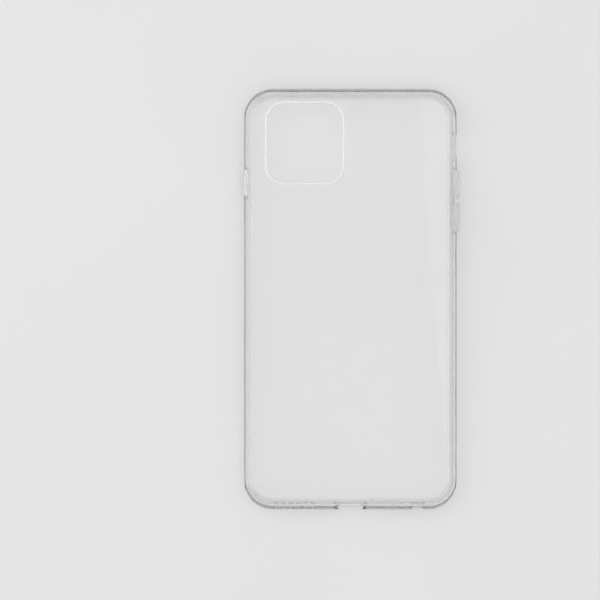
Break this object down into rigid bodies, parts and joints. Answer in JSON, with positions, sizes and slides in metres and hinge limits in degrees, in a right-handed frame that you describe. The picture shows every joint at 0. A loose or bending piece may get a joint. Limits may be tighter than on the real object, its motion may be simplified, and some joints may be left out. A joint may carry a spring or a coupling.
{
  "type": "phone case",
  "caption": "Slim clear phone case with a hard back plate, a soft bumper frame, a raised guard round the camera window and press-through button covers.",
  "frame": {"origin": "middle of the case's footprint, on the plane of the front lip that it lies on", "axes": "+X towards the side with the volume covers, +Y towards the camera end, +Z from the open front to the back, so the case lies on its front lip with its back up"},
  "size_m": [0.0793, 0.1544, 0.0116],
  "materials": {
    "hard_clear": "clear hard polycarbonate with a slight milky haze, polished outside",
    "soft_clear": "clear soft thermoplastic polyurethane, smooth, slightly milky in the thick edges",
    "guard_clear": "soft translucent rim, brighter than the back it stands on",
    "web_clear": "thin clear flexing membrane, satin",
    "button_clear": "clear moulded cover, polished with soft edges"
  },
  "bodies": {
    "case": {"back_plate": "hard_clear", "bumper_frame": "soft_clear", "camera_guard": "guard_clear", "volume_web": "web_clear", "power_web": "web_clear"},
    "volume_up_cover": {"volume_up_button": "button_clear"},
    "volume_down_cover": {"volume_down_button": "button_clear"},
    "power_cover": {"power_button": "button_clear"}
  },
  "joints": [
    {"name": "volume_up_press", "type": "slide", "parent": "case", "child": "volume_up_cover", "axis": [-1, 0, 0], "range_m": [0, 0.0003], "stiffness_N_per_m": 1500, "deforming": ["volume_web"]},
    {"name": "volume_down_press", "type": "slide", "parent": "case", "child": "volume_down_cover", "axis": [-1, 0, 0], "range_m": [0, 0.0003], "stiffness_N_per_m": 1500, "deforming": ["volume_web"]},
    {"name": "power_press", "type": "slide", "parent": "case", "child": "power_cover", "axis": [1, 0, 0], "range_m": [0, 0.0003], "stiffness_N_per_m": 1500, "deforming": ["power_web"]}
  ]
}
